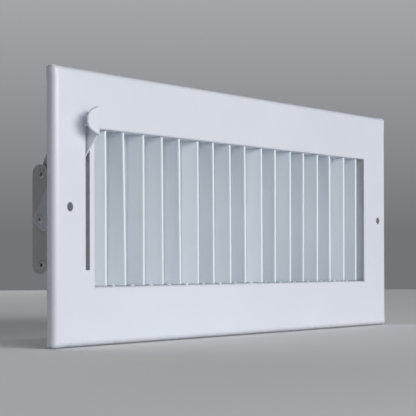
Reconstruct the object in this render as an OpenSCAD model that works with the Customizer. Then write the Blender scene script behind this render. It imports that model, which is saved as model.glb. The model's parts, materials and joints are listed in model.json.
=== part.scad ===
// Sidewall air register: a stamped steel face with upright vanes that are turned one by one, and a
// three-blade damper behind them that a lever in the face opens and shuts.
//
// Millimetres. X runs to the right, Y runs back into the duct and Z runs up. The origin is on the
// front surface of the face, at its centre, midway between the two screw holes.

/* [Face] */
// Width of the face
face_w = 349.25; // [345:0.25:356]
// Height of the face
face_h = 146.05; // [142:0.05:152]
// Thickness of the face's sheet steel
face_t = 0.9; // [0.8:0.1:1]
// How far the turned-back edge stands off, from the front surface to the wall
edge_depth = 6; // [5:0.5:8]
// Outside radius of the bend along each edge
edge_r = 2.2; // [1.6:0.1:3]
// Corner radius of the face's outline
corner_r = 2; // [1.6:0.1:3]
// Width of the open seam where two turned-back edges meet at a corner
seam_w = 0.8; // [0.4:0.1:1.2]

/* [Window] */
// Width of the window
window_w = 287.4; // [284:0.2:290]
// Height of the window
window_h = 84; // [82:0.5:85]
// Depth of the shelf turned back from the window's top and bottom edges
shelf_depth = 23.5; // [23:0.5:24]
// Outside radius of the bend between the face and a shelf
shelf_r = 1.2; // [1.1:0.1:1.6]

/* [Screw holes] */
// Distance between the two screw holes
hole_spacing = 325.7; // [320:0.1:330]
// Diameter of the screw holes
hole_d = 4.8; // [4.2:0.1:5.5]

/* [Vanes] */
// Angle of each vane from straight ahead, from the left, as turned by hand
vane_turn = [28, 14, 14, 18, 11, 26, 7, 14, 3, 22, 3, 12, 1, 7, -2, 14, 7]; // [-30:1:30]
// Distance from one vane's pins to the next vane's
vane_pitch = 16.8; // [16.6:0.05:16.85]
// Front-to-back width of a vane
vane_chord = 14.6; // [14:0.1:14.8]
// Thickness of the vane's sheet steel
vane_t = 0.7; // [0.6:0.1:0.8]
// How far the middle of a vane bows out of its chord
vane_bow = 0.5; // [0.3:0.1:0.6]
// Thickness of the folded hem along a vane's front edge
hem_t = 1.7; // [1.5:0.1:1.8]
// Width of the folded hem
hem_w = 3.2; // [2.5:0.1:4]
// How far behind the front surface the vanes' front edges stand
vane_setback = 1.5; // [1.3:0.1:2]
// Radius of a vane's pins
vane_pin_r = 1.1; // [1:0.05:1.2]

/* [Damper] */
// Distance from one damper blade's pivot to the next
blade_pitch = 24.5; // [24.2:0.1:25]
// Width of a damper blade across its lips
blade_w = 26.4; // [26:0.1:26.6]
// Thickness of a damper blade
blade_t = 0.6; // [0.5:0.1:0.7]
// How far each lip is set off from the blade's plane
lip_offset = 1.2; // [1:0.1:1.3]
// Depth of the blades' pivots behind the front surface
pivot_y = 30.05; // [30:0.05:30.3]
// Radius of the shank of the blades' pivot rivets
pivot_r = 1.25; // [1.1:0.05:1.3]

/* [Linkage] */
// Distance from a blade's pivot to its link rivet
crank_r = 6.5; // [6.4:0.05:6.6]
// Angle of the crank below straight back, with the damper shut
crank_angle = 58; // [56:1:60]
// Width of the link bar
link_w = 10.6; // [10:0.1:11]
// How far the link bar's middle line stands behind its rivets
link_set = 1.5; // [1:0.1:1.8]
// Radius of the shank of the link rivets
link_pin_r = 1.2; // [1.1:0.05:1.25]
// Thickness of the operating lever
lever_t = 1.2; // [1:0.1:1.3]
// Width of the lever where it passes through the slot
lever_w = 8; // [7.5:0.1:8.2]
// Angle of the lever's arm above straight ahead, with the damper shut
arm_angle = 51; // [50:0.5:52]
// Radius of the round thumb tab
tab_r = 8.6; // [8:0.1:9]

/* [Hidden] */
$fn = 48;
play = 0.06;       // radial clearance of a turning pin in its hole
gap = 0.3;         // clearance between plates that slide past each other
over = 1;          // how far a cutter runs past the sheet that it cuts
lap = 0.1;         // overlap that joins two parts of one solid
sheet_t = 0.9;     // thickness of the end plates
link_t = 1;        // thickness of the link bar
ear_t = 0.7;       // thickness of the damper blades' ears

// Rivets: height of a head and of a clenched end, and the bevel on both.
head_t = 0.7;
clench_t = 0.6;
bevel = 0.4;

// The link rivets and the drive rivet have a thick shoulder and a hollow head.
shoulder_r = 1.5;
shoulder_head_r = 2.4;
shoulder_clench_r = 1.9;
eye_r = 0.8;
eye_depth = 3;

// The vanes' pins run through the shelves and end a little way outside them.
vane_count = len(vane_turn);
vane_top = window_h / 2 - 0.3;
vane_foot = window_h / 2 - 1.4;
vane_y = vane_setback + vane_chord / 2;
vane_pin_reach = window_h / 2 + face_t + 1.3;
vane_pin_root = 2;

// Places along X of the left-hand stack of plates, from the window outwards. Each is the face of
// the plate that is nearer to the window.
stack_in = window_w / 2 + 0.4;
end_plate_x = stack_in + ear_t + 0.35;
link_x = end_plate_x + sheet_t + head_t + gap;
lever_x = link_x + link_t + gap;
slot_x = lever_x + lever_t / 2;
slot_w = 3.5;
slot_r = 0.8;
slot_bottom = -33;
slot_top = 44;

// Places in the Y and Z plane.
blade_z = [blade_pitch, 0, -blade_pitch];
crank = [crank_r * cos(crank_angle), -crank_r * sin(crank_angle)];
drive_r = 9.5;
drive_angle = 48;
drive = [-drive_r * cos(drive_angle), drive_r * sin(drive_angle)];
lever_travel = 84;
lobe_r = crank_r - shoulder_r - 0.8;
end_plate_top = window_h / 2 + face_t + sheet_t;
end_plate_rear = pivot_y + 1.45;

// Damper blades: where the step to a lip begins and ends, the outline of the ears, and the notch
// in each end of a blade that clears the clenched end of its pivot rivet.
web_half = 9.8;
step_half = 11.2;
ear_half = 3.6;
ear_r = 1.9;
boss_r = 3.6;
ear_arm_r = 3.3;
notch = [4, 6, 5.6];
pivot_head_r = 2.2;
pivot_clench_r = 1.9;

// The end plates are riveted to the shelves through tabs turned in over them.
tab_y = 7;
tab_reach = 8.2;
tab_r_out = 1.2;
frame_rivet_x = window_w / 2 - 3;
frame_rivet_y = 19;
frame_rivet_r = 1.2;
frame_head_r = 2.2;
frame_clench_r = 1.9;

// The lever's outline. Its arm runs between two parallel lines at arm_angle, which cross the plane
// of the face's front at arm_root_z and arm_rise above it. The tail behind it is wider.
arm_root_z = 29;
arm_dir = [-cos(arm_angle), sin(arm_angle)];
arm_rise = lever_w / cos(arm_angle);
taper = 15;
tail_angle = 59;
tail_dir = [-cos(tail_angle), sin(tail_angle)];
tail_w = 11.1;
tail_len = 26.6;
tail_corner = [39.8, -6.8];
tail_low = tail_corner - tail_w * [sin(tail_angle), cos(tail_angle)];
neck = [24.8, -1.6];

// The round thumb tab: the fold between its rear and front parts, and where each part ends.
fold_y = -7.2;
fold_lap = 0.3;
fold_low = arm_root_z - (fold_y + fold_lap) * tan(arm_angle);
tab_z = 44.2;
tab_bend_r = 1.5;
tab_rear_low = tab_z - 5.7;
tab_rear_y = -0.5;
tab_front_low = tab_z - 6.9;
tab_front_top = tab_z + tab_r - 0.5;
tab_front_r = 6.2;
tab_front_c = [-lever_x - 4, tab_z + 0.8];

function vane_name(i) = str("vane_", i < 10 ? "0" : "", i);
function vane_x(i) = (i - (vane_count + 1) / 2) * vane_pitch;
function unit(a) = [cos(a), sin(a)];

// Tangent point, on the side away from the face, of a line from p to a circle about c.
function tangent(p, c, r) =
    let (d = p - c)
    c + r * unit(atan2(d[1], d[0]) - acos(r / norm(d)));

// A flat plate in the Y and Z plane, from x to x + t. The children's first axis becomes Y.
module side_plate(x, t) {
    translate([x, 0, 0])
        rotate([90, 0, 90])
            linear_extrude(t) children();
}

// A flat plate in the X and Z plane, from y to y + t.
module front_plate(y, t) {
    translate([0, y + t, 0])
        rotate([90, 0, 0])
            linear_extrude(t) children();
}

// A strip of half-width r with round ends about p and q.
module strip(p, q, r) {
    d = q - p;
    for (c = [p, q]) translate(c) circle(r);
    translate(p)
        rotate(atan2(d[1], d[0]))
            translate([0, -r]) square([norm(d), 2 * r]);
}

// A quarter of a bent sheet, in the corner where both coordinates are negative.
module bend(r, t) {
    intersection() {
        difference() {
            circle(r);
            circle(r - t);
        }
        translate([-r, -r]) square(r);
    }
}

// ---------------------------------------------------------------- face plate

// A rectangle w wide and d deep, with its two front corners rounded.
module pan_profile(w, d, r) {
    translate([-w / 2, r]) square([w, d - r]);
    translate([-w / 2 + r, 0]) square([w - 2 * r, d]);
    for (s = [-1, 1]) translate([s * (w / 2 - r), r]) circle(r);
}

module rounded_outline(w, h, r) {
    square([w - 2 * r, h], center = true);
    square([w, h - 2 * r], center = true);
    for (x = [-1, 1], z = [-1, 1]) translate([x * (w / 2 - r), z * (h / 2 - r)]) circle(r);
}

// A closed block, rounded along its front edges, from y = inset to y = back.
module pan_block(inset, back) {
    w = face_w - 2 * inset;
    h = face_h - 2 * inset;
    r = edge_r - inset;
    d = back - inset;
    intersection() {
        translate([0, inset, -h]) linear_extrude(2 * h) pan_profile(w, d, r);
        translate([0, inset, 0]) side_plate(-w, 2 * w) rotate(-90) pan_profile(h, d, r);
        front_plate(inset, d) rounded_outline(w, h, corner_r - inset);
    }
}

module slot_cutter() {
    r = slot_r;
    x0 = -slot_x - slot_w / 2;
    front_plate(-over, face_t + 2 * over) {
        translate([x0, slot_bottom + r]) square([slot_w, slot_top - slot_bottom - 2 * r]);
        translate([x0 + r, slot_bottom]) square([slot_w - 2 * r, slot_top - slot_bottom]);
        for (x = [x0 + r, x0 + slot_w - r], z = [slot_bottom + r, slot_top - r])
            translate([x, z]) circle(r);
    }
}

// The open seams at the corners, where two turned-back edges meet.
module seam_cutters() {
    for (x = [-1, 1], z = [-1, 1])
        translate([x * face_w / 2, edge_r, z * face_h / 2])
            rotate([0, -x * z * 45, 0])
                translate([-2 * edge_r, 0, -seam_w / 2])
                    cube([4 * edge_r, edge_depth, seam_w]);
}

// The shelf above the window, with the bend that joins it to the face.
module shelf() {
    side_plate(-window_w / 2, window_w) {
        translate([shelf_r, window_h / 2]) square([shelf_depth - shelf_r, face_t]);
        translate([shelf_r, window_h / 2 + shelf_r]) bend(shelf_r, face_t);
    }
}

module face_plate() {
    color("white") difference() {
        union() {
            difference() {
                pan_block(0, edge_depth);
                pan_block(face_t, edge_depth + over);
                front_plate(-over, edge_depth)
                    square([window_w, window_h + 2 * shelf_r], center = true);
                slot_cutter();
                seam_cutters();
            }
            shelf();
            mirror([0, 0, 1]) shelf();
        }
        for (x = [-1, 1]) translate([x * hole_spacing / 2, -over, 0])
            rotate([-90, 0, 0]) cylinder(d = hole_d, h = face_t + 2 * over);
        for (i = [1:vane_count]) translate([vane_x(i), vane_y, -face_h / 2])
            cylinder(r = vane_pin_r + play, h = face_h);
        for (x = [-1, 1]) translate([x * frame_rivet_x, frame_rivet_y, -face_h / 2])
            cylinder(r = frame_rivet_r + play, h = face_h);
    }
}

// ---------------------------------------------------------------- end plates

// The end plate's outline: a straight front, a sloping shoulder above and below, and a lobe round
// each blade pivot.
module end_plate_outline() {
    front = face_t + lap;
    shoulder = [shelf_depth + 1.2, end_plate_top - tab_r_out];
    top_pivot = [pivot_y, blade_z[0]];
    for (s = [0, 1]) mirror([0, s])
        polygon([
            [front, 0], [front, shoulder[1]], shoulder, tangent(shoulder, top_pivot, lobe_r),
            top_pivot, [end_plate_rear, top_pivot[1]], [end_plate_rear, 0]
        ]);
    for (z = blade_z) translate([pivot_y, z]) circle(lobe_r);
}

// The arc that the drive rivet sweeps, as a square-ended slot about the middle blade's pivot.
module drive_slot() {
    half = shoulder_r + 0.4;
    spare = asin(half / drive_r) + 1;
    start = 180 - drive_angle - spare;
    stop = 180 - drive_angle + lever_travel + spare;
    far = drive_r * 2;
    translate([pivot_y, 0]) intersection() {
        difference() {
            circle(drive_r + half);
            circle(drive_r - half);
        }
        polygon(concat([[0, 0]], [for (k = [0:3]) far * unit(start + (stop - start) * k / 3)]));
    }
}

// The left end plate, drawn at negative X with its tabs turned in over the shelves.
module end_plate(with_slot) {
    outer = -end_plate_x - sheet_t;
    difference() {
        union() {
            side_plate(outer, sheet_t) end_plate_outline();
            for (s = [0, 1]) mirror([0, 0, s])
                front_plate(tab_y, shelf_depth - tab_y) {
                    translate([outer + tab_r_out, end_plate_top - tab_r_out])
                        mirror([0, 1]) bend(tab_r_out, sheet_t);
                    translate([outer + tab_r_out, end_plate_top - sheet_t])
                        square([tab_reach + sheet_t - tab_r_out, sheet_t]);
                }
        }
        for (z = blade_z) translate([outer - over, pivot_y, z])
            rotate([0, 90, 0]) cylinder(r = pivot_r + play, h = sheet_t + 2 * over);
        for (z = [-1, 1]) translate([-frame_rivet_x, frame_rivet_y, z * end_plate_top])
            cylinder(r = frame_rivet_r + play, h = 2 * (sheet_t + over), center = true);
        if (with_slot) side_plate(outer - over, sheet_t + 2 * over) drive_slot();
    }
}

module end_plate_left() {
    color("gainsboro") end_plate(true);
}

module end_plate_right() {
    color("gainsboro") mirror([1, 0, 0]) end_plate(false);
}

// A rivet along +Z with its head below z = 0 and its clenched end above z = grip.
module rivet(r, grip, head_r, clench_r) {
    translate([0, 0, -head_t]) cylinder(r1 = head_r - bevel, r2 = head_r, h = head_t / 2);
    translate([0, 0, -head_t / 2]) cylinder(r = head_r, h = head_t / 2);
    cylinder(r = r, h = grip + clench_t / 2);
    translate([0, 0, grip]) cylinder(r1 = clench_r, r2 = clench_r - bevel, h = clench_t);
}

module frame_rivets() {
    color("gainsboro")
        for (x = [-1, 1], s = [0, 1]) mirror([0, 0, s])
            translate([x * frame_rivet_x, frame_rivet_y, end_plate_top])
                mirror([0, 0, 1])
                    rivet(frame_rivet_r, face_t + sheet_t, frame_head_r, frame_clench_r);
}

// ---------------------------------------------------------------- vanes

// A vane in plan, with its chord along Y through its pins and its hem at the front.
module vane_profile() {
    half = vane_chord / 2;
    bow_r = (half * half + vane_bow * vane_bow) / (2 * vane_bow);
    intersection() {
        translate([vane_bow - bow_r, 0]) difference() {
            circle(bow_r + vane_t / 2, $fn = 180);
            circle(bow_r - vane_t / 2, $fn = 180);
        }
        translate([-half, -half + hem_t / 3]) square([2 * half, 2 * half - hem_t / 3]);
    }
    translate([0, -half + hem_t / 2]) circle(hem_t / 2);
    translate([0, -half + hem_t / 2]) rotate(-asin((half - hem_w / 2) / bow_r))
        translate([-hem_t / 2, 0]) square([hem_t, hem_w - hem_t / 2]);
}

module vane(i) {
    color("whitesmoke") translate([vane_x(i), vane_y, 0]) rotate(vane_turn[i - 1]) {
        translate([0, 0, -vane_foot]) linear_extrude(vane_foot + vane_top) vane_profile();
        for (s = [0, 1], root = (s == 0 ? vane_top : vane_foot) - vane_pin_root) mirror([0, 0, s])
            translate([0, 0, root]) cylinder(r = vane_pin_r, h = vane_pin_reach - root);
    }
}

// ---------------------------------------------------------------- damper

// A blade on edge, about its own pivot: a flat web, with its top lip set forward and its bottom
// lip set back so that neighbouring lips lap when the damper is shut.
module blade_section() {
    half = blade_w / 2;
    t = blade_t / 2;
    for (s = [0, 1]) rotate(180 * s)
        polygon([
            [-t, 0], [-t, web_half], [-lip_offset - t, step_half], [-lip_offset - t, half],
            [-lip_offset + t, half], [-lip_offset + t, step_half + t / 2],
            [t, web_half + t / 2], [t, 0]
        ]);
}

// The ear at a blade's end. Only the left ears carry a link rivet, and only the middle one also
// carries the drive rivet.
module ear_outline(linked, driven) {
    strip([0, -ear_half], [0, ear_half], ear_r);
    circle(boss_r);
    if (linked) strip([0, 0], crank, ear_arm_r);
    if (driven) strip([0, 0], drive, ear_arm_r);
}

module blade(z, driven) {
    end_x = stack_in + ear_t;
    color("whitesmoke") translate([0, 0, z]) difference() {
        translate([0, pivot_y, 0]) union() {
            side_plate(-stack_in - lap, 2 * (stack_in + lap)) blade_section();
            side_plate(-end_x, ear_t) ear_outline(true, driven);
            side_plate(stack_in, ear_t) ear_outline(false, false);
        }
        for (x = [-1, 1]) translate([x * (stack_in - notch[0] / 2), pivot_y, 0])
            cube(notch, center = true);
        for (x = [-1, 1]) translate([x * end_x, pivot_y, 0]) rotate([0, 90, 0])
            cylinder(r = pivot_r + play, h = 2 * (ear_t + over), center = true);
        for (p = driven ? [crank, drive] : [crank])
            translate([-end_x - over, pivot_y + p[0], p[1]]) rotate([0, 90, 0])
                cylinder(r = link_pin_r + play, h = ear_t + 2 * over);
    }
}

module damper_blade_top() {
    blade(blade_z[0], false);
}

module damper_blade_middle() {
    blade(blade_z[1], true);
}

module damper_blade_bottom() {
    blade(blade_z[2], false);
}

// Three rivets, each holding a blade's ear to the end plate and leaving it free to turn.
module blade_pivots() {
    outer = end_plate_x + sheet_t;
    for (z = blade_z) translate([-outer, pivot_y, z])
        rotate([0, 90, 0]) rivet(pivot_r, outer - stack_in + gap, pivot_head_r, pivot_clench_r);
}

module blade_pivots_left() {
    color("silver") blade_pivots();
}

module blade_pivots_right() {
    color("silver") mirror([1, 0, 0]) blade_pivots();
}

// ---------------------------------------------------------------- lever and link

// The lever's flat part: a wide tail at the blades, an arm that tapers to lever_w, and the rear
// part of the round tab, which stops short of the face.
module lever_outline() {
    upper = [0, arm_root_z + arm_rise];
    fold = fold_y + fold_lap;
    polygon([
        tail_corner, tail_corner + tail_len * tail_dir, upper - taper * arm_dir, upper,
        upper + tab_r / 2 * arm_dir, [fold, tab_z], [fold, fold_low], neck, tail_low
    ]);
    intersection() {
        translate([fold_y, tab_z]) circle(tab_r);
        translate([fold, tab_rear_low]) square([tab_rear_y - fold, 2 * tab_r]);
    }
}

// The front part of the round tab, folded to the left so that it faces the room.
module tab_front() {
    x0 = -lever_x - tab_bend_r;
    front_plate(fold_y - lever_t, lever_t) intersection() {
        hull() {
            translate(tab_front_c) circle(tab_front_r);
            translate([x0, tab_front_low]) square([over, tab_front_top - tab_front_low]);
        }
        translate([x0 - 2 * tab_r, 0]) square([2 * tab_r, 2 * tab_z]);
    }
}

// The bent sheet between the two parts of the tab.
module tab_fold() {
    centre = [-lever_x - tab_bend_r, fold_y - lever_t + tab_bend_r];
    translate([0, 0, fold_low]) linear_extrude(tab_z + tab_r * 0.985 - fold_low)
        translate(centre) mirror([1, 0]) bend(tab_bend_r, lever_t);
}

module operating_lever() {
    color("white") difference() {
        union() {
            side_plate(-lever_x - lever_t, lever_t) lever_outline();
            tab_front();
            tab_fold();
        }
        for (p = [crank, drive]) translate([-lever_x - lever_t - over, pivot_y + p[0], p[1]])
            rotate([0, 90, 0]) cylinder(r = link_pin_r + play, h = lever_t + 2 * over);
    }
}

// A hollow rivet along +Z. Its head sits on z = 0, its thick shoulder runs from z = from to z = to
// and its clenched end holds whatever lies beyond the shoulder.
module shoulder_rivet(from, to, grip) {
    difference() {
        union() {
            rivet(link_pin_r, grip, shoulder_head_r, shoulder_clench_r);
            translate([0, 0, from]) cylinder(r = shoulder_r, h = to - from);
        }
        translate([0, 0, -head_t - over]) cylinder(r = eye_r, h = eye_depth + over);
    }
}

// Joins the lever to the middle blade's ear, through the curved slot in the end plate.
module drive_rivet() {
    outer = lever_x + lever_t;
    color("silver") translate([-outer, pivot_y + drive[0], drive[1]])
        rotate([0, 90, 0])
            shoulder_rivet(lever_t, outer - stack_in - ear_t, outer - stack_in);
}

module link_bar() {
    outer = link_x + link_t;
    color("gainsboro") translate([0, pivot_y + crank[0], crank[1]]) difference() {
        side_plate(-outer, link_t)
            strip([link_set, -blade_pitch], [link_set, blade_pitch], link_w / 2);
        for (z = blade_z) translate([-outer - over, 0, z])
            rotate([0, 90, 0]) cylinder(r = link_pin_r + play, h = link_t + 2 * over);
    }
}

module link_rivets() {
    color("silver") for (z = blade_z) {
        outer = z == 0 ? lever_x + lever_t : link_x + link_t;
        translate([-outer, pivot_y + crank[0], crank[1] + z]) rotate([0, 90, 0])
            shoulder_rivet(outer - link_x, outer - stack_in - ear_t - lap, outer - stack_in + lap);
    }
}

// ---------------------------------------------------------------- nodes

face_plate();
end_plate_left();
end_plate_right();
frame_rivets();
for (i = [1:vane_count]) vane(i);
damper_blade_top();
damper_blade_middle();
damper_blade_bottom();
blade_pivots_left();
blade_pivots_right();
operating_lever();
drive_rivet();
link_bar();
link_rivets();
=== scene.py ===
"""Sidewall air register: the looks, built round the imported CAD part.

Meshes are built in millimetres in the row frame (X right, Y back, Z up, origin on the front of the
face) and scaled to metres when a piece is made.
"""

import json
import math
from bisect import bisect_right

import bmesh
import bpy
from mathutils import Euler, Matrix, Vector
from mathutils.geometry import tessellate_polygon

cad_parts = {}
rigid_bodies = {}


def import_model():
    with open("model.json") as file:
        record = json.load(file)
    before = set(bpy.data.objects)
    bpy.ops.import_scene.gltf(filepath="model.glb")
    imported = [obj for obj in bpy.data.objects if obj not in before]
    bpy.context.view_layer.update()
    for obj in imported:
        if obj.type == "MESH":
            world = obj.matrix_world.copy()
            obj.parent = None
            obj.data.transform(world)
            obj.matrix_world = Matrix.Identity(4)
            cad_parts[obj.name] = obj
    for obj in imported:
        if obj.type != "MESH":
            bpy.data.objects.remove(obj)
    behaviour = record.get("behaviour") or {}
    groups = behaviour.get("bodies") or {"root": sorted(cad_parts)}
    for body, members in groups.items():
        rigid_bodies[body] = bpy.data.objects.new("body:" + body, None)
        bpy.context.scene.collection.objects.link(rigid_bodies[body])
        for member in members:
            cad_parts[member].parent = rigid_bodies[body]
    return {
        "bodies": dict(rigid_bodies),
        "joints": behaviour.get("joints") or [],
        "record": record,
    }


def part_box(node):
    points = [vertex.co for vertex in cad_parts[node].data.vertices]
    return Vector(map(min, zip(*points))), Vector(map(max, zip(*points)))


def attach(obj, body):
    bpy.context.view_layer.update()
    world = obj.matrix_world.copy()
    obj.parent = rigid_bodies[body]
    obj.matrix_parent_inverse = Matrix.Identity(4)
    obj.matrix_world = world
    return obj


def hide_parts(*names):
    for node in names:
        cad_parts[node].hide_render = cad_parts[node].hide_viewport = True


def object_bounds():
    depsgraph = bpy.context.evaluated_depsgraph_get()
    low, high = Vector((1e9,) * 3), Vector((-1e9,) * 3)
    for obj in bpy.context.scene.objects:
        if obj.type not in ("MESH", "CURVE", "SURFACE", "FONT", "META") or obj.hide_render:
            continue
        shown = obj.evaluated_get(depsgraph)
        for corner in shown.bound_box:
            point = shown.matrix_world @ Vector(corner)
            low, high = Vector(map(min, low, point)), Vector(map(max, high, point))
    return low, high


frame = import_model()
cad_low, cad_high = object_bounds()

MM = 0.001
RIM = 0.14          # radius of the enamel's rounding along a cut edge
WELD = 2e-4

record = frame["record"]
body_of = {n: b for b, nodes in record["behaviour"]["bodies"].items() for n in nodes}
axis_of = {j["child"]: Vector(j["pos_m"]) / MM for j in frame["joints"]}


def cad_box(node):
    """Lowest and highest corner of a CAD node, in millimetres."""
    low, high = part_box(node)
    return low / MM, high / MM


# ---------------------------------------------------------------- mesh tools

def arc(centre, r, start, stop, step=12.0):
    """Points on a circle from one angle to another, in degrees."""
    n = max(2, math.ceil(abs(stop - start) / step))
    return [
        Vector((centre[0] + r * math.cos(a), centre[1] + r * math.sin(a)))
        for a in (math.radians(start + (stop - start) * k / n) for k in range(n + 1))
    ]


def circle(centre, r, n=32):
    return arc(centre, r, 0, 360, 360 / n)[:-1]


def filleted(points, radii, closed=True):
    """A polyline with its corners rounded."""
    out = []
    n = len(points)
    for i, (point, r) in enumerate(zip(points, radii)):
        q = Vector(point)
        if r <= 0 or (not closed and i in (0, n - 1)):
            out.append(q)
            continue
        p, s = Vector(points[i - 1]), Vector(points[(i + 1) % n])
        a, b = (p - q).normalized(), (s - q).normalized()
        half = a.angle(b) / 2
        cut = min(r / math.tan(half), 0.49 * (p - q).length, 0.49 * (s - q).length)
        rr = cut * math.tan(half)
        centre = q + (a + b).normalized() * (rr / math.sin(half))
        u, v = q + a * cut - centre, q + b * cut - centre
        a0 = math.atan2(u.y, u.x)
        turn = (math.atan2(v.y, v.x) - a0 + math.pi) % (2 * math.pi) - math.pi
        out += arc(centre, rr, math.degrees(a0), math.degrees(a0 + turn))
    return out


def hull(circles, step=15):
    """The outline of a band stretched round some circles."""
    points = [p for c, r in circles for p in circle(c, r, int(360 / step))]
    points = sorted({(round(p[0], 5), round(p[1], 5)) for p in points})

    def side(seq):
        out = []
        for p in seq:
            while len(out) > 1:
                ax, ay = out[-1][0] - out[-2][0], out[-1][1] - out[-2][1]
                bx, by = p[0] - out[-1][0], p[1] - out[-1][1]
                if ax * by - ay * bx > 1e-9:
                    break
                out.pop()
            out.append(p)
        return out[:-1]

    return side(points) + side(points[::-1])


def area(loop):
    return sum(p.x * q.y - q.x * p.y for p, q in zip(loop, loop[1:] + loop[:1])) / 2


def wound(loop, anticlockwise):
    loop = [Vector(p) for p in loop]
    return loop if (area(loop) > 0) == anticlockwise else loop[::-1]


def moved_left(loop, d):
    """A closed loop moved to its own left, with mitred corners."""
    out = []
    for i, q in enumerate(loop):
        a = (q - loop[i - 1]).normalized()
        b = (loop[(i + 1) % len(loop)] - q).normalized()
        na, nb = Vector((-a.y, a.x)), Vector((-b.y, b.x))
        out.append(q + (na + nb) * (d / max(0.4, 1 + na.dot(nb))))
    return out


def rim_profile(t, r=RIM, steps=3):
    """(inset, depth) from one face of a sheet to the other, round its cut edge."""
    near = [
        (r * (1 - math.sin(a)), r * (1 - math.cos(a)))
        for a in (math.pi / 2 * k / steps for k in range(steps + 1))
    ]
    return near + [(i, t - w) for i, w in reversed(near)]


def bridge(bm, a, b, closed=True, skip=()):
    for i in range(len(a) if closed else len(a) - 1):
        if i in skip:
            continue
        j = (i + 1) % len(a)
        bm.faces.new((a[i], a[j], b[j], b[i]))


def fill(bm, loops, place):
    """Fills the first loop, less the others."""
    flat = [bm.verts.new(place(*p)) for loop in loops for p in loop]
    for tri in tessellate_polygon([[Vector((*p, 0)) for p in loop] for loop in loops]):
        bm.faces.new([flat[i] for i in tri])


def new_bm():
    bm = bmesh.new()
    bm.verts.layers.float.new("edge")
    return bm


def rims(bm, loop, t, place):
    """The wall round a cut edge; returns the loops that its two faces end on."""
    edge = bm.verts.layers.float["edge"]
    rings = []
    for inset, w in rim_profile(t):
        ring = [bm.verts.new(place(*p, w)) for p in moved_left(loop, inset)]
        for v in ring:
            v[edge] = 1 - inset / RIM
        if rings:
            bridge(bm, rings[-1], ring)
        rings.append(ring)
    return moved_left(loop, RIM)


def plate(loops, t):
    """A flat sheet in (u, v, w), from w = 0 to w = t. The first loop is its outline."""
    bm = new_bm()
    loops = [wound(loop, k == 0) for k, loop in enumerate(loops)]
    inner = [rims(bm, loop, t, lambda u, v, w: (u, v, w)) for loop in loops]
    for w in (0, t):
        fill(bm, inner, lambda u, v: (u, v, w))
    bmesh.ops.remove_doubles(bm, verts=bm.verts, dist=WELD)
    return bm


def cut(bm, axis, value):
    at, normal = [0, 0, 0], [0, 0, 0]
    at[axis], normal[axis] = value, 1
    geometry = bm.verts[:] + bm.edges[:] + bm.faces[:]
    bmesh.ops.bisect_plane(bm, geom=geometry, dist=1e-5, plane_co=at, plane_no=normal)


class Path:
    """A folded sheet's middle line, which at(s, w) follows: s along it and w to its left."""

    def __init__(self, points):
        self.p = [Vector(q) for q in points]
        self.s = [0.0]
        sides = []
        for a, b in zip(self.p, self.p[1:]):
            self.s.append(self.s[-1] + (b - a).length)
            d = (b - a).normalized()
            sides.append(Vector((-d.y, d.x)))
        pairs = zip([sides[0]] + sides, sides + [sides[-1]])
        self.n = [(a + b) / max(0.4, 1 + a.dot(b)) for a, b in pairs]
        self.length = self.s[-1]

    def at(self, s, w):
        i = min(max(bisect_right(self.s, s) - 1, 0), len(self.p) - 2)
        f = (s - self.s[i]) / (self.s[i + 1] - self.s[i])
        spot = self.p[i] + (self.p[i + 1] - self.p[i]) * f
        side = self.n[i] + (self.n[i + 1] - self.n[i]) * f
        return spot + side * w


def join(bm, part):
    mesh = bpy.data.meshes.new("part")
    part.to_mesh(mesh)
    part.free()
    bm.from_mesh(mesh)
    bpy.data.meshes.remove(mesh)


def folded(bm, loops, t, path, place, cuts=()):
    """A sheet cut to loops of (along the path, across it), then folded along the path."""
    part = plate(loops, t)
    for s in path.s[1:-1]:
        cut(part, 0, s)
    for v in cuts:
        cut(part, 1, v)
    for v in part.verts:
        a, b = path.at(v.co.x, v.co.z - t / 2)
        v.co = place(a, b, v.co.y)
    join(bm, part)


def flat(bm, loops, t, place):
    part = plate(loops, t)
    for v in part.verts:
        v.co = place(*v.co)
    join(bm, part)


def lathe(bm, profile, place, n=36, rim=()):
    """Turns a profile of (radius, height) about its axis. rim lists the worn points."""
    edge = bm.verts.layers.float["edge"]
    rings = []
    for k, (r, h) in enumerate(profile):
        spots = [(0, 0)] if r < 1e-6 else circle((0, 0), r, n)
        ring = [bm.verts.new(place(x, y, h)) for x, y in spots]
        for v in ring:
            v[edge] = 1.0 if k in rim else 0.0
        if rings:
            last = rings[-1]
            for i in range(n):
                j = (i + 1) % n
                quad = [last[i % len(last)], last[j % len(last)]]
                quad += [ring[j % len(ring)], ring[i % len(ring)]]
                bm.faces.new(list(dict.fromkeys(quad)))
        rings.append(ring)


def piece(name, node, bm, material):
    """Makes a mesh from bm that stands for a CAD node and rides on its body."""
    bmesh.ops.remove_doubles(bm, verts=bm.verts, dist=WELD)
    bmesh.ops.dissolve_degenerate(bm, edges=bm.edges, dist=1e-5)
    bmesh.ops.recalc_face_normals(bm, faces=bm.faces)
    bmesh.ops.scale(bm, vec=(MM, MM, MM), verts=bm.verts)
    mesh = bpy.data.meshes.new(name)
    bm.to_mesh(mesh)
    bm.free()
    mesh.shade_smooth()
    mesh.set_sharp_from_angle(angle=math.radians(50))
    mesh.materials.append(material)
    obj = bpy.data.objects.new(name, mesh)
    bpy.context.scene.collection.objects.link(obj)
    normals = obj.modifiers.new("Normals", "WEIGHTED_NORMAL")
    normals.keep_sharp = True
    normals.weight = 90
    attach(obj, body_of[node])
    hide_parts(node)
    return obj


# ---------------------------------------------------------------- materials

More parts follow.
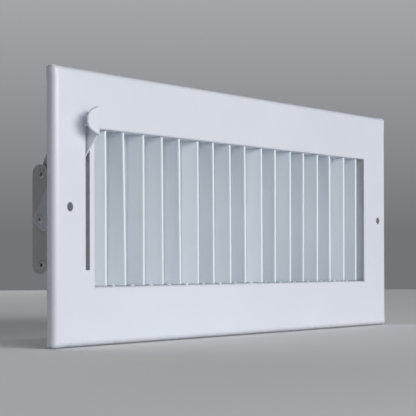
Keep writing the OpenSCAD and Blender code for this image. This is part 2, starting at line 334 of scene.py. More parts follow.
class Nodes:
    """A small helper that adds and links shader nodes."""

    def __init__(self, tree):
        self.tree = tree

    def add(self, kind, inputs=None, **settings):
        node = self.tree.nodes.new(kind)
        for key, value in settings.items():
            setattr(node, key, value)
        for key, value in (inputs or {}).items():
            if isinstance(value, bpy.types.NodeSocket):
                self.tree.links.new(value, node.inputs[key])
            else:
                node.inputs[key].default_value = value
        return node

    def noise(self, where, scale, detail=3.0, rough=0.5):
        inputs = {"Vector": where, "Scale": scale, "Detail": detail, "Roughness": rough}
        return self.add("ShaderNodeTexNoise", inputs).outputs[0]

    def ramp(self, value, low, high, a=0.0, b=1.0):
        inputs = {"Value": value, "From Min": low, "From Max": high, "To Min": a, "To Max": b}
        return self.add("ShaderNodeMapRange", inputs).outputs["Result"]

    def math(self, operation, a, b):
        return self.add("ShaderNodeMath", {0: a, 1: b}, operation=operation).outputs[0]

    def mix(self, factor, a, b):
        node = self.add("ShaderNodeMix", data_type="RGBA")
        for socket, value in ((node.inputs[0], factor), (node.inputs[6], a), (node.inputs[7], b)):
            if isinstance(value, bpy.types.NodeSocket):
                self.tree.links.new(value, socket)
            else:
                socket.default_value = value
        return node.outputs[2]


def new_material(name):
    material = bpy.data.materials.new(name)
    material.use_nodes = True
    material.node_tree.nodes.clear()
    return material, Nodes(material.node_tree)


def enamel(name, colour, roughness=0.34, peel=0.10, wave=0.25, wear=0.35, dust_and_shade=0.3, coat=0.2, seed=0.0):
    """White baked enamel on sheet steel: fine orange peel, a slow waviness in the sheet, thin and
    slightly chipped paint along the cut edges, and corners darkened partly by dust and partly by painted
    shade."""
    material, n = new_material(name)
    spot = n.add("ShaderNodeTexCoord").outputs["Object"]
    offset = (seed, seed * 0.7, seed * 1.3)
    where = n.add("ShaderNodeVectorMath", {0: spot, 1: offset}, operation="ADD").outputs[0]
    c = Vector(colour)

    tone = n.noise(where, 11.0, 2.0)
    paint = n.mix(n.ramp(tone, 0.35, 0.65), (*(c * 0.972), 1), (*c, 1))
    warm = n.ramp(n.noise(where, 34.0, 4.0, 0.6), 0.50, 0.72, 0.0, 0.22)
    paint = n.mix(warm, paint, (c.x * 0.985, c.y * 0.965, c.z * 0.93, 1))

    # Corners and hollows, found by ambient occlusion, are darkened towards grey: partly dust, partly
    # painted shade.
    hollow = n.add("ShaderNodeAmbientOcclusion", {"Distance": 0.004}, samples=4).outputs["AO"]
    shade = n.ramp(hollow, 0.35, 0.95, 1.0, 0.0)
    patchy = n.ramp(n.noise(where, 160.0, 4.0, 0.65), 0.35, 0.65, 0.4, 1.0)
    dust_and_painted_shade = n.math("MULTIPLY", n.math("MULTIPLY", shade, patchy), dust_and_shade)
    paint = n.mix(dust_and_painted_shade, paint, (0.33, 0.32, 0.31, 1))

    rim = n.add("ShaderNodeAttribute", attribute_name="edge").outputs["Fac"]
    chips = n.ramp(n.noise(where, 420.0, 5.0, 0.7), 0.50, 0.66)
    thin = n.ramp(n.noise(where, 70.0, 2.0), 0.40, 0.60, 0.25, 1.0)
    worn = n.math("MULTIPLY", n.math("MULTIPLY", rim, wear), n.math("MULTIPLY", chips, thin))
    paint = n.mix(worn, paint, (0.30, 0.30, 0.31, 1))

    smear = n.ramp(n.noise(where, 26.0, 5.0, 0.6), 0.3, 0.7, -0.05, 0.07)
    rough = n.math("ADD", n.math("ADD", smear, roughness), n.math("MULTIPLY", dust_and_painted_shade, 0.5))

    fine = n.noise(where, 820.0, 2.0)
    nibs = n.ramp(n.noise(where, 300.0, 1.0), 0.76, 0.83)
    slow = n.noise(where, 16.0, 1.0)
    bump = n.add("ShaderNodeBump", {"Strength": wave, "Distance": 0.0012, "Height": slow})
    for strength, depth, height in ((peel, 0.00010, fine), (0.25, 0.00012, nibs)):
        inputs = {"Strength": strength, "Distance": depth, "Height": height, "Normal": bump.outputs[0]}
        bump = n.add("ShaderNodeBump", inputs)

    shader = n.add("ShaderNodeBsdfPrincipled", {
        "Base Color": paint, "Roughness": rough, "Normal": bump.outputs[0],
        "Specular IOR Level": 0.5, "Coat Weight": coat, "Coat Roughness": 0.16,
    })
    n.add("ShaderNodeOutputMaterial", {"Surface": shader.outputs[0]})
    return material


FACE = enamel("face_enamel", (0.790, 0.826, 0.905))
# The vanes' white is lighter and bluer than the face's: painted light that brightens the vane faces in
# the narrow gaps between them.
VANE = enamel(
    "vane_enamel", (0.865, 0.938, 0.992),
    roughness=0.38, peel=0.08, wave=0.35, wear=0.15, dust_and_shade=0.12, coat=0.1, seed=3.1,
)
# The end plates' white is a little greyer and darker than the face's: painted shade for the shade they
# sit in behind the face.
FRAME = enamel(
    "frame_enamel", (0.760, 0.780, 0.810),
    roughness=0.42, peel=0.14, wave=0.30, dust_and_shade=0.55, coat=0.1, seed=5.3,
)
DAMPER = enamel(
    "damper_enamel", (0.820, 0.850, 0.890),
    roughness=0.42, peel=0.12, wave=0.45, dust_and_shade=0.4, coat=0.1, seed=7.7,
)
LEVER = enamel("lever_enamel", (0.790, 0.826, 0.905), roughness=0.33, wear=0.6, seed=9.9)
# The link bar's and rivets' white is greyer and darker than the face's: painted shade for the shade these
# rear parts sit in.
LINK = enamel(
    "link_enamel", (0.710, 0.718, 0.735),
    roughness=0.42, peel=0.14, wear=0.6, dust_and_shade=0.6, coat=0.1, seed=12.4,
)
RIVET = enamel(
    "rivet_enamel", (0.720, 0.730, 0.755),
    roughness=0.36, peel=0.18, wear=0.9, dust_and_shade=0.9, coat=0.1, seed=15.2,
)


# ---------------------------------------------------------------- face plate

FACE_T = 0.9
EDGE_DEPTH = 6.0
BEND_R = 3.4
CORNER_R = 2.0
WINDOW_W, WINDOW_H = 287.4, 84.0
SHELF_DEPTH = 23.5
FRAME_RIVET_X, FRAME_RIVET_Y, FRAME_HOLE_R = 140.7, 19.0, 1.26
SHELF_R = 1.2
SHELF_SLIT = 0.2
HOLE_D, HOLE_SPACING = 4.8, 325.7
SLOT_X, SLOT_W, SLOT_R = -148.95, 3.5, 0.8
SLOT_LOW, SLOT_HIGH = -33.0, 44.0
PIN_R = 1.1
PLAY = 0.06

_, face_high = cad_box("face_plate")
half_w, half_h = face_high.x, face_high.z
vane_names = sorted(b for b in frame["bodies"] if b.startswith("vane_"))


def face_outline(inset):
    """The face's outline drawn in by inset. Away from the corners the folded edges pull in."""
    steps, sag = 7, 0.28
    r = max(CORNER_R - inset, 0.05)
    w, h = half_w - inset, half_h - inset
    out = []
    corners = (((1, -1), -90), ((1, 1), 0), ((-1, 1), 90), ((-1, -1), 180))
    for k, ((sx, sz), start) in enumerate(corners):
        out += arc((sx * (w - r), sz * (h - r)), r, start, start + 90, 90 / steps)
        (tx, tz), _ = corners[(k + 1) % 4]
        a, b = Vector((sx * w, sz * h)), Vector((tx * w, tz * h))
        d = (b - a).normalized()
        inward = Vector((-d.y, d.x))
        for at, pull in ((3.2, 0), (5.0, 0.35), (7.5, 0.85), (12, 1)):
            out.append(a + d * at + inward * sag * pull)
        for at, pull in ((12, 1), (7.5, 0.85), (5.0, 0.35), (3.2, 0)):
            out.append(b - d * at + inward * sag * pull)
    return out, steps


def make_face():
    bm = new_bm()
    edge = bm.verts.layers.float["edge"]
    t, r, back = FACE_T, BEND_R, EDGE_DEPTH
    quarter = [math.pi / 2 * k / 7 for k in range(8)]
    outer = [(r * (1 - math.sin(a)), r * (1 - math.cos(a))) for a in quarter]
    inner = [(r - (r - t) * math.sin(a), r - (r - t) * math.cos(a)) for a in reversed(quarter)]
    soft = ((0, 0.25), (0.07, 0.07), (0.25, 0))
    rim = [(i, back - d) for i, d in soft] + [(t - i, back - d) for i, d in reversed(soft)]
    profile = outer + rim + inner
    first, last = len(outer) - 1, len(outer) + len(rim)

    rings = []
    for inset, y in profile:
        points, steps = face_outline(inset)
        rings.append([bm.verts.new((x, y, z)) for x, z in points])
    for k in range(len(outer), len(outer) + len(rim)):
        for v in rings[k]:
            v[edge] = 0.8
    per_corner = len(rings[0]) // 4
    seams = [q * per_corner + steps // 2 for q in range(4)]
    for k, (a, b) in enumerate(zip(rings, rings[1:])):
        bridge(bm, a, b, skip=seams if first <= k < last else ())
    for i in seams:
        j = i + 1
        for s in (i, j):
            bm.faces.new([ring[s] for ring in rings[first:last + 1]])
        bm.faces.new((rings[first][i], rings[first][j], rings[last][j], rings[last][i]))

    w, h, ws = WINDOW_W / 2, WINDOW_H / 2 + SHELF_R, WINDOW_W / 2 - SHELF_SLIT
    window = [(w, -h), (w, h), (ws, h), (-ws, h), (-w, h), (-w, -h), (-ws, -h), (ws, -h)]
    slot = filleted([
        (SLOT_X - SLOT_W / 2, SLOT_LOW), (SLOT_X + SLOT_W / 2, SLOT_LOW),
        (SLOT_X + SLOT_W / 2, SLOT_HIGH), (SLOT_X - SLOT_W / 2, SLOT_HIGH),
    ], [SLOT_R] * 4)
    holes = [slot] + [circle((s * HOLE_SPACING / 2, 0), HOLE_D / 2, 40) for s in (-1, 1)]
    holes = [wound(h_, False) for h_ in holes]
    cut_back = [rims(bm, h_, t, lambda x, z, y: (x, y, z)) for h_ in holes]
    for y in (0, t):
        fill(bm, [face_outline(r)[0], [Vector(p) for p in window]] + cut_back, lambda x, z: (x, y, z))
    near = [bm.verts.new((x, 0, z)) for x, z in window]
    far = [bm.verts.new((x, t, z)) for x, z in window]
    bridge(bm, near, far, skip=(2, 6))

    for side in (1, -1):
        arcs = []
        for rr in (SHELF_R, SHELF_R - t):
            centre = WINDOW_H / 2 + SHELF_R
            arcs.append([(SHELF_R - rr * math.cos(a), centre - rr * math.sin(a)) for a in quarter])
        ends = []
        for x in (-ws, ws):
            low = [bm.verts.new((x, y, side * z)) for y, z in arcs[0]]
            high = [bm.verts.new((x, y, side * z)) for y, z in arcs[1]]
            rear = [bm.verts.new((x, SHELF_DEPTH, side * z)) for z in (WINDOW_H / 2, WINDOW_H / 2 + t)]
            bridge(bm, low, high, closed=False)
            bm.faces.new((low[-1], rear[0], rear[1], high[-1]))
            ends.append((low, high, rear))
        for k in (0, 1):
            bridge(bm, ends[0][k], ends[1][k], closed=False)
        bm.faces.new((ends[0][2][0], ends[1][2][0], ends[1][2][1], ends[0][2][1]))
        sheet = wound([(-ws, SHELF_R), (ws, SHELF_R), (ws, SHELF_DEPTH), (-ws, SHELF_DEPTH)], True)
        pins = [circle(axis_of[name].xy, PIN_R + PLAY, 20) for name in vane_names]
        pins += [circle((s * FRAME_RIVET_X, FRAME_RIVET_Y), FRAME_HOLE_R, 20) for s in (-1, 1)]
        pins = [wound(p, False) for p in pins]
        levels = (WINDOW_H / 2, WINDOW_H / 2 + t)
        for z in levels:
            fill(bm, [sheet] + pins, lambda x, y: (x, y, side * z))
        for pin in pins:
            a, b = ([bm.verts.new((x, y, side * z)) for x, y in pin] for z in levels)
            bridge(bm, a, b)
    return piece("face_sheet", "face_plate", bm, FACE)


make_face()


# ---------------------------------------------------------------- vanes

# How far each vane is twisted along its height, in degrees at its ends, from the left.
TWISTS = (2.6, 10.0, 0.7, 5.6, 5.9, 2.2, 3.3, 4.1, 2.6, 3.0, -0.7, -1.5, -2.0, -3.0, 0.5, -2.0, -2.0)
VANE_T, VANE_BOW, CHORD = 0.7, 0.5, 14.6
HEM_T, HEM_W = 1.7, 3.2
VANE_HALF = 41.0
VANE_TOP, VANE_FOOT = 41.75, 41.4
PIN_REACH = 44.2


def vane_path():
    """In plan, from the rear edge forward: the bowed sheet, a slight joggle, and the folded hem."""
    half = CHORD / 2
    fold = (HEM_T - VANE_T) / 2
    nose = -half + HEM_T / 2
    path = []
    for k in range(13):
        y = half - (half + nose + HEM_W) * k / 12
        path.append((VANE_BOW * (1 - (y / half) ** 2), y))
    x, y = path[-1]
    path += [(x - fold * 0.5, y - 0.5), (x - fold * 0.95, y - 0.95)]
    path += [(-fold, nose)]
    path += [tuple(p) for p in arc((0, nose), fold, 180, 360, 20)[1:]]
    path.append((fold + 0.02, nose + HEM_W - HEM_T / 2 - 0.3))
    return Path(path)


def make_vane(name, turn, twist):
    bm = new_bm()
    axis = axis_of[name]
    path = vane_path()
    outline = filleted(
        [(0, -VANE_FOOT), (path.length, -VANE_FOOT), (path.length, VANE_TOP), (0, VANE_TOP)],
        [0.8, 0.3, 0.3, 0.8],
    )

    def place(x, y, z):
        a = math.radians(turn - twist * z / VANE_HALF)
        c, s = math.cos(a), math.sin(a)
        return axis.x + c * x - s * y, axis.y + s * x + c * y, z

    cuts = [VANE_HALF * k / 8 for k in range(-7, 8)]
    folded(bm, [outline], VANE_T, path, place, cuts)
    for s, end in ((1, VANE_TOP), (-1, VANE_FOOT)):
        foot, r = end - 0.4, PIN_R
        profile = [(0, foot), (r * 0.7, foot), (r, foot + 0.2), (r, PIN_REACH - 0.35),
                   (r * 0.75, PIN_REACH - 0.08), (0, PIN_REACH)]
        lathe(bm, profile, lambda x, y, h: (axis.x + x, axis.y + y, s * h), 20, rim=(3, 4))
    piece("blade_" + name, name, bm, VANE)


def turn_of(name):
    """How far a vane is turned at rest: its joint's range is even about straight ahead."""
    joint = next(j for j in frame["joints"] if j["child"] == name)
    return -sum(joint["range_deg"]) / 2


for name, twist in zip(vane_names, TWISTS):
    make_vane(name, turn_of(name), twist)


# ---------------------------------------------------------------- rivets

def solid_head(r, h):
    """A low domed head, from its top to its rim."""
    dome = ((0, 1), (0.35, 0.97), (0.65, 0.82), (0.87, 0.52), (0.98, 0.2), (1, 0))
    return [(r * a, h * b) for a, b in dome]


def hollow_head(r, h, eye, depth):
    """The rolled head of a tubular rivet, from the bottom of its bore out to its rim."""
    return [
        (0, -depth), (eye * 0.9, -depth), (eye, -depth + 0.3), (eye, h * 0.25), (eye * 1.12, h * 0.68),
        (eye * 1.4, h * 0.95), (eye * 1.8, h), (r * 0.84, h * 0.74), (r * 0.96, h * 0.36), (r, 0.0),
    ]


def rivet(bm, head, r, shank, grip, clench, place):
    """Head, shank and clenched end. shank lists (radius, start, stop) along the grip."""
    profile = list(head)
    for radius, start, stop in shank:
        profile += [(radius, -start), (radius, -stop)]
    profile += [
        (clench, -grip), (clench, -grip - 0.18), (clench * 0.86, -grip - 0.45),
        (clench * 0.55, -grip - 0.58), (0, -grip - 0.6),
    ]
    lathe(bm, profile, place, 36, rim=range(max(1, len(head) - 5), len(head) - 1))


HEAD = 0.7
PIVOT_R, LINK_PIN_R, SHOULDER_R = 1.25, 1.2, 1.5
PIVOT_HEAD_R, LINK_HEAD_R, FRAME_HEAD_R = 2.2, 2.4, 2.2
CLENCH_R = 1.9
EYE_R, EYE_DEPTH = 0.8, 2.6

# Planes of the stack of plates, outwards from the window.
EAR_IN, EAR_OUT = 144.1, 144.8
PLATE_OUT = 146.05
LINK_IN, LINK_OUT = 147.05, 148.05
LEVER_OUT, LEVER_T = 149.55, 1.2


def along_x(outer, y, z, mirror=1):
    """Places a rivet whose head sits on the plane at -outer and whose shank runs inward."""
    return lambda a, b, h: (-mirror * (outer + h), y + a, z + b)


def make_pivots(node, mirror):
    bm = new_bm()
    low, high = cad_box(node)
    y = (low.y + high.y) / 2
    centre = (low.z + high.z) / 2
    reach = (high.z - low.z) / 2 - PIVOT_HEAD_R
    grip = PLATE_OUT - EAR_IN + 0.3
    for z in (-reach, 0, reach):
        rivet(bm, solid_head(PIVOT_HEAD_R, HEAD), PIVOT_R, [(PIVOT_R, 0, grip)], grip, CLENCH_R,
              along_x(PLATE_OUT, y, centre + z, mirror))
    piece(node + "_set", node, bm, RIVET)


make_pivots("blade_pivots_left", 1)
make_pivots("blade_pivots_right", -1)


def make_shoulder_rivets(node, seats):
    """seats lists (outer plane, y, z, start of shoulder, end of shoulder, grip)."""
    bm = new_bm()
    for outer, y, z, start, stop, grip in seats:
        shank = [(LINK_PIN_R, 0, start), (SHOULDER_R, start, stop), (LINK_PIN_R, stop, grip)]
        head = hollow_head(LINK_HEAD_R, HEAD, EYE_R, EYE_DEPTH)
        rivet(bm, head, LINK_PIN_R, shank, grip, CLENCH_R, along_x(outer, y, z))
    piece(node + "_set", node, bm, RIVET)


link_low, link_high = cad_box("link_rivets")
link_y = (link_low.y + link_high.y) / 2
link_z = (link_low.z + link_high.z) / 2
link_step = (link_high.z - link_low.z) / 2 - LINK_HEAD_R
make_shoulder_rivets("link_rivets", [
    (outer, link_y, link_z + dz, outer - LINK_IN, outer - EAR_OUT - 0.1, outer - EAR_IN + 0.1)
    for outer, dz in ((LINK_OUT, -link_step), (LEVER_OUT, 0), (LINK_OUT, link_step))
])
drive_low, drive_high = cad_box("drive_rivet")
drive_y, drive_z = (drive_low.y + drive_high.y) / 2, (drive_low.z + drive_high.z) / 2
make_shoulder_rivets("drive_rivet", [
    (LEVER_OUT, drive_y, drive_z, LEVER_T, LEVER_OUT - EAR_OUT, LEVER_OUT - EAR_IN)
])


def make_frame_rivets():
    bm = new_bm()
    low, high = cad_box("frame_rivets")
    x, y = high.x - FRAME_HEAD_R, (low.y + high.y) / 2
    top = high.z - HEAD
    r, grip = 1.2, 1.8
    for sx in (-1, 1):
        for sz in (-1, 1):
            rivet(bm, solid_head(FRAME_HEAD_R, HEAD), r, [(r, 0, grip)], grip, CLENCH_R,
                  lambda a, b, h: (sx * x + a, y + b, sz * (top + h)))
    piece("frame_rivets_set", "frame_rivets", bm, RIVET)


make_frame_rivets()


# ---------------------------------------------------------------- link bar

def make_link_bar():
    bm = new_bm()
    low, high = cad_box("link_bar")
    r = (high.y - low.y) / 2
    y, z = (high.y + low.y) / 2, (high.z + low.z) / 2
    reach = (high.z - low.z) / 2 - r
    outline = arc((y, z + reach), r, 0, 180, 10) + arc((y, z - reach), r, 180, 360, 10)
    holes = [circle((link_y, link_z + k * link_step), LINK_PIN_R + PLAY, 24) for k in (-1, 0, 1)]
    flat(bm, [outline] + holes, high.x - low.x, lambda u, v, w: (low.x + w, u, v))
    piece("link_bar_strip", "link_bar", bm, LINK)


make_link_bar()


# ---------------------------------------------------------------- lever

ARM_ROOT, ARM_ANGLE, ARM_W = 29.0, math.radians(51), 8.0
ARM_TAPER = 15
TAIL_ANGLE, TAIL_W, TAIL_LEN = math.radians(59), 11.1, 26.6
TAIL_CORNER = (39.8, -6.8)
NECK = (24.8, -1.6)
TAB_Z, TAB_R = 44.2, 8.6
TAB_REAR_Y = -0.5
TAB_FRONT_R = 5.8
FOLD_Y, FOLD_R = -7.2, 1.5


def make_lever():
    """Laid out flat, then folded at the tab. Its path runs from the tail forward and then left."""
    bm = new_bm()
    low, high = cad_box("operating_lever")
    x_right = high.x
    mid_x = x_right - LEVER_T / 2
    centre = (x_right - FOLD_R, FOLD_Y - LEVER_T + FOLD_R)
    mid_r = FOLD_R - LEVER_T / 2
    path = [(mid_x, high.y + 1), (mid_x, 10), (mid_x, centre[1])]
    path += [tuple(p) for p in arc(centre, mid_r, 0, -90, 11.25)[1:]]
    path.append((low.x - 1, centre[1] - mid_r))
    path = Path(path)
    start = high.y + 1

    def s_of(y):
        return start - y

    bend_start = s_of(centre[1])
    bend_end = bend_start + mid_r * math.pi / 2
    rise = ARM_W / math.cos(ARM_ANGLE)
    arm = Vector((-math.cos(ARM_ANGLE), math.sin(ARM_ANGLE)))
    upper = Vector((0, ARM_ROOT + rise))
    corner = Vector(TAIL_CORNER)
    tail_up = corner + TAIL_LEN * Vector((-math.cos(TAIL_ANGLE), math.sin(TAIL_ANGLE)))
    tail_low = corner - TAIL_W * Vector((math.sin(TAIL_ANGLE), math.cos(TAIL_ANGLE)))
    fold_low = ARM_ROOT - (FOLD_Y + 0.3) * math.tan(ARM_ANGLE)
    rear_angle = math.acos((TAB_REAR_Y - FOLD_Y) / TAB_R)
    arm_at_rear = upper + arm * (-TAB_REAR_Y / math.cos(ARM_ANGLE))

    corners = (tail_low, corner, tail_up, upper - ARM_TAPER * arm, arm_at_rear)
    body = [(s_of(p[0]), p[1]) for p in corners]
    body.append((s_of(TAB_REAR_Y), TAB_Z + TAB_R * math.sin(rear_angle)))
    loop = filleted(body, [0.9, 0.9, 3.0, 6.0, 0.3, 0])[:-1]
    rear = [Vector((s_of(FOLD_Y + TAB_R * math.cos(a)), TAB_Z + TAB_R * math.sin(a)))
            for a in (rear_angle + (math.pi / 2 - rear_angle) * k / 8 for k in range(9))]
    disc = ((bend_end + 2.6, TAB_Z + 1.0), TAB_FRONT_R)
    ends = [((bend_end, TAB_Z + dz), 0.1) for dz in (8.0, -6.8)]
    front = hull([disc] + ends, 10)
    front = [Vector(p) for p in front if p[0] > bend_end + 0.05]
    front.sort(key=lambda p: -math.atan2(p.y - TAB_Z, p.x - bend_end))
    loop = loop + rear + front + [Vector((bend_start, fold_low)), Vector((s_of(NECK[0]), NECK[1]))]
    pins = ((link_y, link_z), (drive_y, drive_z))
    holes = [circle((s_of(y), z), LINK_PIN_R + PLAY, 24) for y, z in pins]
    folded(bm, [loop] + holes, LEVER_T, path, lambda a, b, v: (a, b, v))
    piece("lever_arm", "operating_lever", bm, LEVER)


make_lever()


# ---------------------------------------------------------------- end plates

SHEET_T = 0.9
TAB_OUT_R = 1.2
PLATE_TOP = 43.8
PLATE_FRONT, SHOULDER_Y = 1.0, 24.7
TAB_FRONT, TAB_RUN = 7.0, 7.9
REAR_REACH = 1.45   # from the pivots to the straight rear edge
LOBE_R = 4.2
BLADE_PITCH = 24.5
DRIVE_R, DRIVE_ANGLE, TRAVEL = 9.5, 48, 84


def make_end_plate(node, mirror, slotted):
    """Laid out flat with its tabs, then the tabs folded in over the shelves."""
    bm = new_bm()
    pivot = axis_of["damper_middle"]
    py = pivot.y
    z0 = PLATE_TOP - TAB_OUT_R
    mid_r = TAB_OUT_R - SHEET_T / 2
    bend = mid_r * math.pi / 2
    corner_x = PLATE_OUT - TAB_OUT_R
    reach = z0 + bend + TAB_RUN
    lobe_z = math.sqrt(LOBE_R ** 2 - REAR_REACH ** 2)
    shoulder = Vector((SHOULDER_Y, z0))
    top = Vector((py, BLADE_PITCH))
    d = shoulder - top
    tangent = math.atan2(d.y, d.x) - math.acos(LOBE_R / d.length)
    notch = math.degrees(math.atan2(lobe_z, REAR_REACH))
    half = [
        (PLATE_FRONT, 0), (PLATE_FRONT, z0 - 0.3), (TAB_FRONT - 0.4, z0 - 0.3), (TAB_FRONT, reach),
        (SHELF_DEPTH - 0.4, reach), (SHELF_DEPTH, z0), tuple(shoulder), (py + REAR_REACH, 0),
    ]
    upper = filleted(half, [0, 0.8, 0.4, 1.6, 1.6, 0.4, 1.2, 0], False)[1:-1]
    upper += [tuple(p) for p in arc(top, LOBE_R, math.degrees(tangent), -notch, 10)]
    middle = [tuple(p) for p in arc((py, 0), LOBE_R, notch, -notch, 10)]
    lower = [(y, -z) for y, z in reversed([tuple(p) for p in upper])]
    loops = [[(z, y) for y, z in [tuple(p) for p in upper] + middle + lower]]
    for z in (-BLADE_PITCH, 0, BLADE_PITCH):
        loops.append(circle((z, py), PIVOT_R + PLAY, 24))
    for s in (-1, 1):
        along = s * (z0 + bend + corner_x - FRAME_RIVET_X)
        loops.append(circle((along, FRAME_RIVET_Y), FRAME_HOLE_R, 24))
    if slotted:
        wide = SHOULDER_R + 0.4
        spare = math.degrees(math.asin(wide / DRIVE_R)) + 1
        start = 180 - DRIVE_ANGLE - spare
        stop = 180 - DRIVE_ANGLE + TRAVEL + spare
        slot = arc((py, 0), DRIVE_R + wide, start, stop, 6) + arc((py, 0), DRIVE_R - wide, stop, start, 6)
        loops.append([(z, y) for y, z in slot])
    path = [(-corner_x + TAB_RUN, -PLATE_TOP + SHEET_T / 2)]
    path += [tuple(p) for p in arc((-corner_x, -z0), mid_r, 270, 180, 15)]
    path += [tuple(p) for p in arc((-corner_x, z0), mid_r, 180, 90, 15)]
    path.append((-corner_x + TAB_RUN, PLATE_TOP - SHEET_T / 2))
    path = Path(path)
    shift = path.length / 2
    loops = [[(z + shift, y) for z, y in (tuple(p) for p in loop)] for loop in loops]
    folded(bm, loops, SHEET_T, path, lambda a, b, v: (mirror * a, v, b))
    piece(node + "_sheet", node, bm, FRAME)


make_end_plate("end_plate_left", 1, True)
make_end_plate("end_plate_right", -1, False)


# ---------------------------------------------------------------- damper blades

BLADE_T, EAR_T, LIP_OFFSET = 0.6, 0.7, 1.2
WEB_HALF, STEP_HALF = 9.8, 11.2
NOTCH_X, NOTCH_Z = 4.0, 2.8
EAR_HALF, EAR_R, BOSS_R, EAR_ARM_R = 3.6, 1.9, 3.6, 3.3
LUG_INSET = 0.014   # the lugs are a hair thinner than the ear, so that no two faces coincide


def make_blade(node, driven):
    """A flat web with joggled lips, a flat ear at each end, and crank lugs on the left ear."""
    bm = new_bm()
    low, high = cad_box(node)
    pivot = axis_of[body_of[node]]
    off, tip = LIP_OFFSET, (high.z - low.z) / 2
    line = [(off, -tip), (off, -STEP_HALF), (0, -WEB_HALF), (0, WEB_HALF), (-off, STEP_HALF), (-off, tip)]
    line = filleted(line, [0, 1.0, 1.0, 1.0, 1.0, 0], False)
    path = Path([(y, z) for y, z in line])
    mid = path.length / 2
    x1, notch_x, notch_z = EAR_IN, NOTCH_X, NOTCH_Z
    corners = [
        (0, -x1), (mid - notch_z, -x1), (mid - notch_z, -x1 + notch_x), (mid + notch_z, -x1 + notch_x),
        (mid + notch_z, -x1), (2 * mid, -x1), (2 * mid, x1), (mid + notch_z, x1),
        (mid + notch_z, x1 - notch_x), (mid - notch_z, x1 - notch_x), (mid - notch_z, x1), (0, x1),
    ]
    loop = filleted(corners, [0.8, 0.3, 1.0, 1.0, 0.3, 0.8, 0.8, 0.3, 1.0, 1.0, 0.3, 0.8])
    folded(bm, [loop], BLADE_T, path, lambda a, b, v: (v, pivot.y + a, pivot.z + b))

    crank = Vector((link_y - axis_of["damper_middle"].y, link_z))
    drive = Vector((drive_y - axis_of["damper_middle"].y, drive_z))
    for side in (-1, 1):
        arms = []
        if side < 0:
            arms.append(crank)
            if driven:
                arms.append(drive)
        ear = hull([((0, -EAR_HALF), EAR_R), ((0, EAR_HALF), EAR_R), ((0, 0), BOSS_R)])
        holes = [circle((0, 0), PIVOT_R + PLAY, 24)]
        flat(bm, [ear] + holes, EAR_T,
             lambda u, v, w: (side * (EAR_IN + w), pivot.y + u, pivot.z + v))
        for arm in arms:
            away = arm.normalized()
            root = arm - away * (arm.length - 1.6 - PIVOT_R)
            lug = hull([(tuple(root + away * 1.2), EAR_ARM_R - 0.4), (tuple(arm), EAR_ARM_R)])
            hole = circle(tuple(arm), LINK_PIN_R + PLAY, 24)
            flat(bm, [lug, hole], EAR_T - 2 * LUG_INSET,
                 lambda u, v, w: (side * (EAR_IN + LUG_INSET + w), pivot.y + u, pivot.z + v))
    piece(node + "_sheet", node, bm, DAMPER)


for node in ("damper_blade_top", "damper_blade_middle", "damper_blade_bottom"):
    make_blade(node, node == "damper_blade_middle")


# ---------------------------------------------------------------- stage, lights, camera

FLOOR_R = 1.5
BACKDROP_LOW = (0.17, 0.175, 0.185, 1)
BACKDROP_HIGH = (0.42, 0.43, 0.45, 1)


def make_stage():
    material, n = new_material("floor_paper")
    where = n.add("ShaderNodeTexCoord").outputs["Object"]
    tone = n.mix(n.ramp(n.noise(where, 3.0, 2.0), 0.3, 0.7), (0.76, 0.77, 0.78, 1), (0.79, 0.80, 0.81, 1))
    shader = n.add("ShaderNodeBsdfPrincipled", {"Base Color": tone, "Roughness": 0.9})
    n.add("ShaderNodeOutputMaterial", {"Surface": shader.outputs[0]})
    bm = bmesh.new()
    level = cad_low.z - 0.0003
    around = [math.tau * k / 48 for k in range(48)]
    rings = [[bm.verts.new((0, 0, level))]]
    for k in range(1, 11):
        radius = FLOOR_R * k / 10
        rings.append([bm.verts.new((radius * math.cos(a), radius * math.sin(a), level)) for a in around])
    for a, b in zip(rings, rings[1:]):
        for i in range(48):
            j = (i + 1) % 48
            bm.faces.new(list(dict.fromkeys([a[i % len(a)], a[j % len(a)], b[j], b[i]])))
    mesh = bpy.data.meshes.new("floor")
    bm.to_mesh(mesh)
    bm.free()
    mesh.materials.append(material)
    obj = bpy.data.objects.new("floor", mesh)
    bpy.context.scene.collection.objects.link(obj)


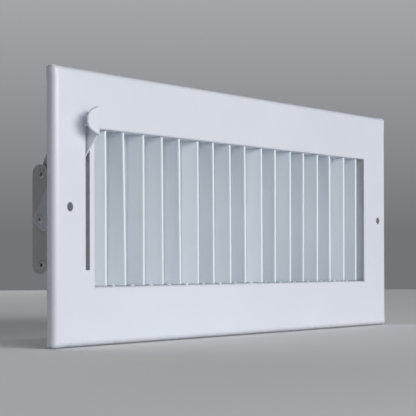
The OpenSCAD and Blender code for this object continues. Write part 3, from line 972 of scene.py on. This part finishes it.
def area_light(name, where, aim, size, power, spread=180):
    light = bpy.data.lights.new(name, "AREA")
    light.shape = "RECTANGLE"
    light.size, light.size_y = size
    light.energy = power
    light.spread = math.radians(spread)
    obj = bpy.data.objects.new(name, light)
    obj.location = where
    obj.rotation_mode = "QUATERNION"
    obj.rotation_quaternion = (Vector(aim) - Vector(where)).to_track_quat("-Z", "Y")
    bpy.context.scene.collection.objects.link(obj)


def sky_light(name, strength, angle):
    """A broad, even light from straight above."""
    light = bpy.data.lights.new(name, "SUN")
    light.energy = strength
    light.angle = math.radians(angle)
    obj = bpy.data.objects.new(name, light)
    bpy.context.scene.collection.objects.link(obj)


def make_world(light):
    """A plain backdrop that grows lighter upwards, and a faint even light."""
    world = bpy.data.worlds.new("studio")
    bpy.context.scene.world = world
    world.use_nodes = True
    world.node_tree.nodes.clear()
    n = Nodes(world.node_tree)
    way = n.add("ShaderNodeTexCoord").outputs["Generated"]
    height = n.add("ShaderNodeSeparateXYZ", {"Vector": way}).outputs["Z"]
    seen = n.mix(n.ramp(height, 0.02, 0.22), BACKDROP_LOW, BACKDROP_HIGH)
    ray = n.add("ShaderNodeLightPath").outputs["Is Camera Ray"]
    back = n.add("ShaderNodeBackground", {"Color": n.mix(ray, (*light, 1), seen), "Strength": 1.0})
    n.add("ShaderNodeOutputWorld", {"Surface": back.outputs[0]})


def make_camera():
    """Fitted to where the face's corners, the window and the screw holes are in the picture."""
    data = bpy.data.cameras.new("camera")
    data.sensor_width = 36
    data.lens = 123.784
    data.shift_y = 0.10096
    data.clip_start, data.clip_end = 0.01, 50
    camera = bpy.data.objects.new("camera", data)
    camera.location = (-0.72147, -0.49071, -0.02928)
    camera.rotation_euler = Euler([math.radians(a) for a in (90.5196, 0.1413, -54.1969)])
    bpy.context.scene.collection.objects.link(camera)
    bpy.context.scene.camera = camera


make_stage()
make_world((0.008, 0.009, 0.010))
area_light("key", (-0.16, -2.0, 0.66), (0, 0, 0), (3.0, 0.9), 18.6, spread=110)
area_light("back", (1.0, 1.8, 0.8), (0, 0, 0), (1.6, 1.0), 8)
sky_light("top", 0.36, 75)
make_camera()
bpy.context.scene.view_settings.view_transform = "Standard"
